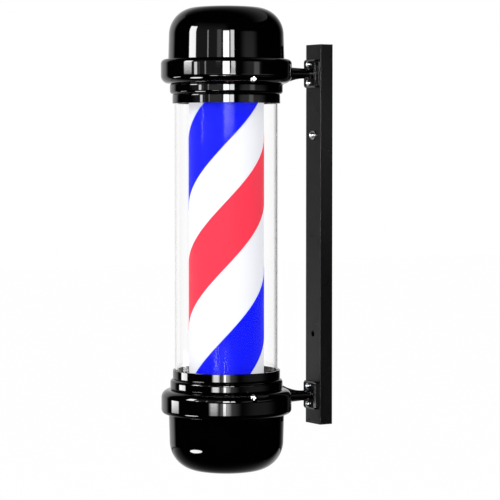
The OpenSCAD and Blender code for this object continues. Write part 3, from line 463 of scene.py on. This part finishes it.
dome = to_object("dome_skin", cap(DOME_TOP, DOME_SHOULDER, DOME_CROWN))
dress(dome, "frame", "top_dome")
bowl = to_object("bowl_skin", flip_down(cap(BOWL_TOP, BOWL_SHOULDER, BOWL_CROWN)))
cut(bowl, [rod(gland_point(-CUT_REACH), gland_point(CUT_REACH), GLAND_HOLE_R)])
dress(bowl, "frame", "bottom_bowl")

# %% [markdown]
# ## Collars
# A collar is a cast ring with a wide rounding towards the tube and a tighter one towards the cap.
# It holds the cap in a recess and takes a bright screw on each side. Each screw sinks into a
# round seat, so the ring is turned first and the seats and holes are cut into it after.

# %% Collars
COLLAR_R, COLLAR_LOW = 99.85, 233.5
ROUND_TUBE, ROUND_CAP = 12.2, 7.0
COLLAR_BORE, CAP_HOLE_R, RECESS_R = 80.85, 88.8, 96.35
RECESS_TOP, RECESS_FLOOR, LIP_CHAMFER = 266.7, 243.1, 0.6
SIDE_TURN, SIDE_Z, SIDE_SEAT = -4.5, 238.6, 91.95
SEAT_R, SIDE_HOLE_R, CUT_PAST = 0.00595, 0.0031, 5
collar_outline = (
    [(COLLAR_BORE, COLLAR_LOW)]
    + arc(COLLAR_R - ROUND_TUBE, COLLAR_LOW + ROUND_TUBE, ROUND_TUBE, -90, 0, 28)
    + arc(COLLAR_R - ROUND_CAP, CAP_LIP - ROUND_CAP, ROUND_CAP, 0, 90, 20)
    + [(CAP_HOLE_R + LIP_CHAMFER, CAP_LIP), (CAP_HOLE_R, CAP_LIP - LIP_CHAMFER),
       (CAP_HOLE_R, RECESS_TOP), (RECESS_R, RECESS_TOP),
       (RECESS_R, RECESS_FLOOR), (COLLAR_BORE, RECESS_FLOOR)]
)


def collar_holes(sign):
    """Cutters for the two screw seats and their holes, above (1) or below (-1) the middle."""
    rods = []
    for turn in (SIDE_TURN, SIDE_TURN + 180):
        z = sign * SIDE_Z
        seat = outward(turn, SIDE_SEAT, z)
        inside = outward(turn, COLLAR_BORE - CUT_PAST, z)
        rods.append(rod(seat, outward(turn, COLLAR_R + CUT_PAST, z), SEAT_R))
        rods.append(rod(inside, outward(turn, SIDE_SEAT + CUT_PAST, z), SIDE_HOLE_R, 32))
    return rods


for name, sign in (("upper_collar", 1), ("lower_collar", -1)):
    ring = turned(collar_outline)
    collar = to_object(name + "_skin", ring if sign > 0 else flip_down(ring))
    cut(collar, collar_holes(sign))
    dress(collar, "frame", name)

# %% [markdown]
# ## Neck rings
# Each end of the clear tube plugs into a ring with two beads: a thin rim round the tube and a
# thicker neck. Their corners run into narrow grooves, one between the two and one at the collar,
# and on each corner a strip light shrinks to a short bright dash.

# %% Neck rings
RIM_R, RIM_LOW, RIM_ROUND, RIM_EDGE = 82.25, 203.4, 3.0, 0.6
NECK_R, NECK_LOW, NECK_ROUND, NECK_END_ROUND = 86.15, 217.3, 5.0, 4.0
GROOVE, END_GROOVE = 1.0, 2.0
POCKET_R, POCKET_END, POCKET_CHAMFER = 79.35, 222.0, 0.5
SPIGOT_R, SPIGOT_BORE, SPIGOT_END = 80.75, 76.75, 248.5
WEB_BORE, WEB_END = 66.0, 226.0


def corner(radius, height, round_r, depth, start, end):
    """A bead's corner of radius round_r that runs into a groove of a depth at a height."""
    turn = degrees(acos(1 - depth / round_r))
    middle = height + (1 if start else -1) * round_r * sin(radians(turn))
    return arc(radius - round_r, middle, round_r, start * turn, end * turn, 16)


neck_outline = (
    [(POCKET_R, RIM_LOW + POCKET_CHAMFER), (POCKET_R + POCKET_CHAMFER, RIM_LOW)]
    + arc(RIM_R - RIM_EDGE, RIM_LOW + RIM_EDGE, RIM_EDGE, -90, 0, 6)
    + corner(RIM_R, NECK_LOW, RIM_ROUND, GROOVE, 0, 1)
    + corner(NECK_R, NECK_LOW, NECK_ROUND, NECK_R - RIM_R + GROOVE, -1, 0)
    + corner(NECK_R, COLLAR_LOW, NECK_END_ROUND, END_GROOVE, 0, 1)
    + [(SPIGOT_R, COLLAR_LOW), (SPIGOT_R, SPIGOT_END), (SPIGOT_BORE, SPIGOT_END),
       (SPIGOT_BORE, WEB_END), (WEB_BORE, WEB_END), (WEB_BORE, POCKET_END), (POCKET_R, POCKET_END)]
)
for name, sign in (("upper_neck_ring", 1), ("lower_neck_ring", -1)):
    ring = turned(neck_outline)
    dress(to_object(name + "_skin", ring if sign > 0 else flip_down(ring)), "frame", name)

# %% [markdown]
# ## Clear tube
# The tube needs both its walls, since the refraction at its sides comes from the distance between
# them. It is one closed ring, and its faces must all point out of the plastic.

# %% Clear tube
TUBE_R, TUBE_WALL, TUBE_HALF = 78.75, 2.5, 220.5
tube_outline = [(TUBE_R, -TUBE_HALF), (TUBE_R, TUBE_HALF),
                (TUBE_R - TUBE_WALL, TUBE_HALF), (TUBE_R - TUBE_WALL, -TUBE_HALF)]
dress(to_object("tube_skin", turned(tube_outline, steps=256)), "frame", "clear_tube")

# %% [markdown]
# ## Drum sleeve and striped films
# The stripes are films wound round a white sleeve. A film is an upright edge that is spun and
# lifted at once, which draws the helix, then trimmed level with the sleeve's ends and given its
# thickness. Painting the stripes with a material would be shorter, but a film has a real edge.

# %% Drum sleeve
DRUM_R, DRUM_HALF, SLEEVE_WALL = 57.25, 214.4, 0.8
sleeve_outline = [(DRUM_R, -DRUM_HALF), (DRUM_R, DRUM_HALF),
                  (DRUM_R - SLEEVE_WALL, DRUM_HALF), (DRUM_R - SLEEVE_WALL, -DRUM_HALF)]
dress(to_object("sleeve_skin", turned(sleeve_outline)), "drum", "drum_sleeve")

# %% Striped films
LEAD, FILM, FILM_LIFT, STEPS_PER_TURN = 391.0, 0.4, 0.05, 180


def film(band, middle_turn):
    """A helical film; band is its height along the axis, middle_turn its turn at mid height."""
    reach = DRUM_HALF + band
    turns = 2 * reach / LEAD
    steps = round(turns * STEPS_PER_TURN)
    start = radians(middle_turn) - turns * pi
    radius = (DRUM_R + FILM_LIFT) / 1000
    foot_z = (-reach - band / 2) / 1000
    foot = axis_point + Vector((radius * cos(start), radius * sin(start), foot_z))
    bm = bmesh.new()
    low, high = bm.verts.new(foot), bm.verts.new(foot + Vector((0, 0, band / 1000)))
    bm.edges.new((low, high))
    bmesh.ops.spin(bm, geom=bm.verts[:] + bm.edges[:], cent=axis_point, axis=(0, 0, 1),
                   angle=turns * tau, dvec=(0, 0, 2 * reach / steps / 1000), steps=steps)
    for side in (1, -1):
        bmesh.ops.bisect_plane(bm, geom=bm.verts[:] + bm.edges[:] + bm.faces[:], clear_outer=True,
                               plane_co=(0, 0, side * DRUM_HALF / 1000), plane_no=(0, 0, side))
    bmesh.ops.recalc_face_normals(bm, faces=bm.faces[:])
    if (bm.faces[0].calc_center_median() - axis_point).xy.dot(bm.faces[0].normal.xy) > 0:
        bmesh.ops.reverse_faces(bm, faces=bm.faces[:])
    bmesh.ops.solidify(bm, geom=bm.faces[:], thickness=FILM / 1000)
    bmesh.ops.recalc_face_normals(bm, faces=bm.faces[:])
    return bm


for name, band, middle_turn in (("red_stripe", 98.5, -36), ("blue_stripe", 100.5, 152)):
    piece = to_object(name + "_film", film(band, middle_turn))
    dress(piece, "drum", name)
    spread = [((v.co - axis_point).xy.length * 1000) for v in piece.data.vertices]
    print(name, "from radius", round(min(spread), 2), "to", round(max(spread), 2))

# %% [markdown]
# ## Arms, bar, screws and gland
# These have the right shape in the engineering model, which stores them as loose triangles. A copy
# with its doubles merged can be shaded smooth, so the cast horns and the screws' domed heads lose
# their flats. A Weighted Normal modifier then lets the large faces keep their own direction, so
# that the bar's sides and the flanges mirror evenly. The arms swap the shared enamel for the cast
# one.

# %% Smooth copies
def smooth_copy(node, body):
    """A merged copy of an engineering solid that stands for it."""
    bm = bmesh.new()
    bm.from_mesh(nodes[node].data)
    bmesh.ops.remove_doubles(bm, verts=bm.verts[:], dist=1e-6)
    piece = to_object(node + "_smooth", bm)
    dress(piece, body, node, limit=SHARP_EDGE_OF_COPY)
    held = piece.modifiers.new("held_flat", "WEIGHTED_NORMAL")
    held.keep_sharp = True
    return piece


for node in ("upper_arm", "lower_arm", "wall_bar", "bar_top_plug", "bar_bottom_plug",
             "side_screws", "arm_flange_screws", "wall_bolt", "wall_washer", "gland_body",
             "gland_nut", "gland_seal", "upper_tube_seal", "lower_tube_seal"):
    piece = smooth_copy(node, "frame")
    if node.endswith("_arm"):
        piece.data.materials[0] = finishes["cast_enamel"]

# %% [markdown]
# ## Floor and background
# The photograph has a plain white background. The world is white where the camera, a mirror finish
# or the clear tube looks at it, and dimmer as a light. The pale floor far below is nearly all glow
# for those same rays, so it runs into the background, and takes light like any floor otherwise.

# %% World and floor
WORLD_AS_LIGHT, FLOOR_Z, FLOOR_HALF = 0.35, -0.75, 12
FLOOR_GLOW, GLOW_SHARE = 1.02, 0.96


def looked_at(tree):
    """1 for camera rays, mirror rays and rays through the clear tube; 0 for all others."""
    path = tree.nodes.new("ShaderNodeLightPath")
    total = path.outputs["Is Camera Ray"]
    for name in ("Is Glossy Ray", "Is Transmission Ray"):
        add = tree.nodes.new("ShaderNodeMath")
        add.use_clamp = True
        tree.links.new(total, add.inputs[0])
        tree.links.new(path.outputs[name], add.inputs[1])
        total = add.outputs["Value"]
    return total


world = bpy.data.worlds.new("studio")
bpy.context.scene.world = world
world.use_nodes = True
tree = world.node_tree
back = tree.nodes["Background"]
back.inputs["Color"].default_value = (1, 1, 1, 1)
level = tree.nodes.new("ShaderNodeMapRange")
level.inputs["To Min"].default_value = WORLD_AS_LIGHT
level.inputs["To Max"].default_value = 1.0
tree.links.new(looked_at(tree), level.inputs["Value"])
tree.links.new(level.outputs["Result"], back.inputs["Strength"])

bm = bmesh.new()
bmesh.ops.create_grid(bm, x_segments=1, y_segments=1, size=FLOOR_HALF)
bmesh.ops.translate(bm, vec=(0, 0, FLOOR_Z), verts=bm.verts[:])
floor = to_object("floor", bm)
tree, shader, place = new_finish("floor", (0.88, 0.88, 0.88), 0.8)
white = tree.nodes.new("ShaderNodeEmission")
white.inputs["Strength"].default_value = FLOOR_GLOW
part = tree.nodes.new("ShaderNodeMath")
part.operation = "MULTIPLY"
part.inputs[1].default_value = GLOW_SHARE
mix = tree.nodes.new("ShaderNodeMixShader")
tree.links.new(looked_at(tree), part.inputs[0])
tree.links.new(part.outputs["Value"], mix.inputs["Fac"])
tree.links.new(shader.outputs["BSDF"], mix.inputs[1])
tree.links.new(white.outputs["Emission"], mix.inputs[2])
tree.links.new(mix.outputs["Shader"], tree.nodes["Material Output"].inputs["Surface"])
floor.data.materials.append(finishes["floor"])
print("floor at", FLOOR_Z)

# %% [markdown]
# ## Strip lights and a dark tent
# Piano black shows nothing but reflections. In the studio the pole stands in a dark tent with
# strip lights let into it, and the highlights on it are those strips. A panel's place is its turn
# from the camera's direction: what stands at a turn t shows where the pole's side faces t / 2.
# Only mirror rays see the panels, so they don't light the drum, and the clear tube stays clear
# from every side.
#
# A panel is an upright edge spun round the pole's axis. Its material fades out towards its edges,
# and a strip light adds its glow to what stands behind it, so strips can overlap.

# %% Glow helpers
def ramp(tree, value, start, end):
    """Runs smoothly from 0 at start to 1 at end."""
    node = tree.nodes.new("ShaderNodeMapRange")
    node.interpolation_type = "SMOOTHSTEP"
    node.inputs["From Min"].default_value = start
    node.inputs["From Max"].default_value = end
    tree.links.new(value, node.inputs["Value"])
    return node.outputs["Result"]


def times(tree, one, other):
    """The product of two values, either of them a number."""
    node = tree.nodes.new("ShaderNodeMath")
    node.operation = "MULTIPLY"
    for socket, value in zip(node.inputs, (one, other)):
        if isinstance(value, (int, float)):
            socket.default_value = value
        else:
            tree.links.new(value, socket)
    return node.outputs["Value"]


def towards(turn):
    """The level direction at a turn in degrees from the camera's, seen from the pole."""
    return to_camera * cos(radians(turn)) + to_right * sin(radians(turn))


def ramp_towards(tree, place, turn, start, end):
    """A ramp over the distance from the pole's axis towards a turn, in metres."""
    along = tree.nodes.new("ShaderNodeVectorMath")
    along.operation = "DOT_PRODUCT"
    along.inputs[1].default_value = towards(turn)
    tree.links.new(place, along.inputs[0])
    middle = axis_point.dot(towards(turn))
    return ramp(tree, along.outputs["Value"], middle + start, middle + end)


# %% Glowing pieces
def glowing(bm, name, strength, adds=False):
    """A stage piece for mirror rays; strength is a number or a function of its tree and place."""
    piece = to_object(name, bm)
    tree, _, place = new_finish(name, (0, 0, 0), 1.0)
    glow = tree.nodes.new("ShaderNodeEmission")
    if callable(strength):
        tree.links.new(strength(tree, place), glow.inputs["Strength"])
    else:
        glow.inputs["Strength"].default_value = strength
    shown = glow.outputs["Emission"]
    if adds:
        both = tree.nodes.new("ShaderNodeAddShader")
        clear = tree.nodes.new("ShaderNodeBsdfTransparent")
        tree.links.new(shown, both.inputs[0])
        tree.links.new(clear.outputs["BSDF"], both.inputs[1])
        shown = both.outputs["Shader"]
    tree.links.new(shown, tree.nodes["Material Output"].inputs["Surface"])
    piece.data.materials.append(finishes[name])
    piece.visible_camera = False
    piece.visible_transmission = False
    piece.visible_diffuse = False
    piece.visible_volume_scatter = False
    piece.visible_shadow = False


def faded(first, last, low, high, strength, fade, side, radius):
    """A strength that fades out over (foot, head) metres and over (first, last) side degrees."""
    middle_turn = (first + last) / 2 + 90
    reach = radius * sin(radians((last - first) / 2))
    first_side, last_side = (radius * radians(turn) for turn in side)

    def build(tree, place):
        height = tree.nodes.new("ShaderNodeSeparateXYZ")
        tree.links.new(place, height.inputs["Vector"])
        up = times(tree, ramp(tree, height.outputs["Z"], low, low + fade[0]),
                   ramp(tree, height.outputs["Z"], high, high - fade[1]))
        along = times(tree, ramp_towards(tree, place, middle_turn, -reach, first_side - reach),
                      ramp_towards(tree, place, middle_turn, reach, reach - last_side))
        return times(tree, times(tree, up, along), strength)
    return build


def pair(value):
    """A value for each of two edges: a pair stays, and a single number counts for both."""
    return value if isinstance(value, tuple) else (value, value)


def panel(name, first, last, low, high, strength, fade=0.04, side=1.0, radius=1.5, adds=False):
    """A curved panel from a first to a last turn in degrees and a low to a high metre."""
    bm = bmesh.new()
    around = towards(first) * radius
    foot = bm.verts.new(axis_point + around + Vector((0, 0, low)))
    head = bm.verts.new(axis_point + around + Vector((0, 0, high)))
    bm.edges.new((foot, head))
    bmesh.ops.spin(bm, geom=bm.verts[:] + bm.edges[:], cent=axis_point, axis=(0, 0, 1),
                   angle=radians(last - first), steps=max(4, round(last - first)))
    if strength:
        strength = faded(first, last, low, high, strength, pair(fade), pair(side), radius)
    glowing(bm, name, strength, adds)


# %% [markdown]
# Each strip has its first and last turn, its foot and head in metres, its strength, and how far it
# fades: at foot and head in metres, then at its sides in degrees. Heights count from the middle of
# the pole, so the strips with heights below zero are those that the lower rings mirror, and the
# others show on the dome and the upper rings. The two hazes are the faint grey of the tent's
# cloth. Each strip stands a little further out than the last, so that no two share a surface.

# %% Strip lights
STRIPS = {
    "strip_left": (-77.5, -60.6, 0.27, 1.0, 21, (0.07, 0.06), 1.5),
    "strip_left_low": (-56.5, -50, 0.13, 0.35, 14, (0.05, 0.02)),
    "strip_hair": (-48, -46, 0.1, 0.36, 1.8, 0.05),
    "strip_thin": (-37.2, -34.2, 0.1, 0.65, 5, (0.26, 0.05), 0.8),
    "strip_dim": (-19, -8, 0.30, 0.7, 1.3, 0.05, 3),
    "strip_dim_low": (-36, -7, 0.10, 0.30, 0.5, 0.05, 4),
    "haze": (-78, 8, 0.15, 1.9, 0.22, (0.1, 1.6), 12),
    "strip_front": (-6.3, 6, 0.1, 0.62, 30, 0.12),
    "strip_front_low": (6, 16, 0.1, 0.30, 18, 0.03),
    "strip_front_grey": (7.6, 15.6, 0.27, 0.66, 15, 0.05),
    "strip_right": (24, 66, 0.15, 0.6, 0.45, 0.2, 16),
    "strip_right_low": (22, 96, 0.0, 0.30, 0.55, 0.08, (8, 26)),
    "strip_line": (46, 60, 0.1, 0.36, 1.3, (0.1, 0.05), 4),
    "strip_low_far": (-111.5, -89.5, -0.465, -0.30, 14, (0.06, 0.04), 3),
    "strip_low_left": (-31, -12, -0.47, -0.27, 17, (0.085, 0.04), 6),
    "strip_low_between": (-15, -5, -0.52, -0.27, 2.2, (0.08, 0.04), (9, 1)),
    "strip_low_front": (-6, 0, -0.50, -0.27, 26, 0.10),
    "strip_low_right": (0, 10, -0.50, -0.27, 8, 0.08, (0.5, 9)),
    "strip_low_tail": (4, 28, -0.54, -0.27, 1.0, 0.08, (2, 22)),
    "haze_low": (20, 100, -0.54, -0.27, 0.22, 0.08, 30),
}
STRIP_R, STRIP_STEP = 1.5, 0.004
for order, (name, values) in enumerate(STRIPS.items()):
    panel(name, *values, radius=STRIP_R + STRIP_STEP * order, adds=True)
print("strip lights:", len(STRIPS))

# %% [markdown]
# Behind the pole the tent is open, and the white there runs softly into the dark, which gives the
# caps and collars their grey edges. The tent's roof and base pick up some of that white towards the
# back. A round lamp on the base makes the bright spot low on the bowl. The base lies just above the
# floor and the lamp just above the base.

# %% Tent
TENT_R, TENT_ROOF, TENT_SEAM, LAYER = 1.7, 1.6, 0.05, 0.01
OPEN_FROM, OPEN_TO, OPEN_HEAD = 128, 240, 2.4
FOOT_LAMP_TURN, FOOT_LAMP_AWAY, FOOT_LAMP_R = -65, 1.07, 0.27
panel("tent", OPEN_TO - 360, OPEN_FROM, FLOOR_Z, TENT_ROOF, 0.0, radius=TENT_R)
panel("opening", OPEN_FROM, OPEN_TO, FLOOR_Z, OPEN_HEAD, 0.8, (0.1, 1.9), (42, 8.4), TENT_R)


def level_disc(height, radius, shift=Vector((0, 0, 0))):
    """A flat round face on the pole's axis or shifted from it."""
    bm = bmesh.new()
    bmesh.ops.create_circle(bm, cap_ends=True, segments=48, radius=radius)
    centre = axis_point + Vector((0, 0, height)) + shift
    bmesh.ops.translate(bm, vec=centre, verts=bm.verts[:])
    return bm


def rising(level, *edges):
    """A strength that rises towards each edge's turn, from its first to its last metre."""
    def build(tree, place):
        value = level
        for edge in edges:
            value = times(tree, ramp_towards(tree, place, *edge), value)
        return value
    return build


glowing(level_disc(TENT_ROOF, TENT_R + TENT_SEAM), "tent_roof", rising(0.27, (150, 0.0, 1.3)))
glowing(level_disc(FLOOR_Z + LAYER, TENT_R + TENT_SEAM), "tent_base",
        rising(0.75, (160, -0.2, 1.1), (235, -0.35, 0.0)))
glowing(level_disc(FLOOR_Z + 2 * LAYER, FOOT_LAMP_R, towards(FOOT_LAMP_TURN) * FOOT_LAMP_AWAY),
        "lamp_foot", 21)
print("tent radius:", TENT_R)

# %% [markdown]
# ## Soft lamps
# Two large soft lamps light the drum, the bar and the floor. They are left out of mirror rays, so
# the highlights stay those of the strips.

# %% Lamps
LAMP_SIZE = 2.0


def soft_lamp(name, position, power):
    """A square soft lamp that faces the middle of the pole."""
    light = bpy.data.lights.new(name, "AREA")
    light.size = LAMP_SIZE
    light.energy = power
    lamp = bpy.data.objects.new(name, light)
    lamp.location = position
    lamp.rotation_mode = "QUATERNION"
    lamp.rotation_quaternion = (axis_point - Vector(position)).to_track_quat("-Z", "Y")
    lamp.visible_glossy = False
    bpy.context.collection.objects.link(lamp)
    print(name, power, "W")


soft_lamp("lamp_front", (1.6, -3.0, 1.8), 56)
soft_lamp("lamp_side", (3.2, 0.6, 1.2), 6)
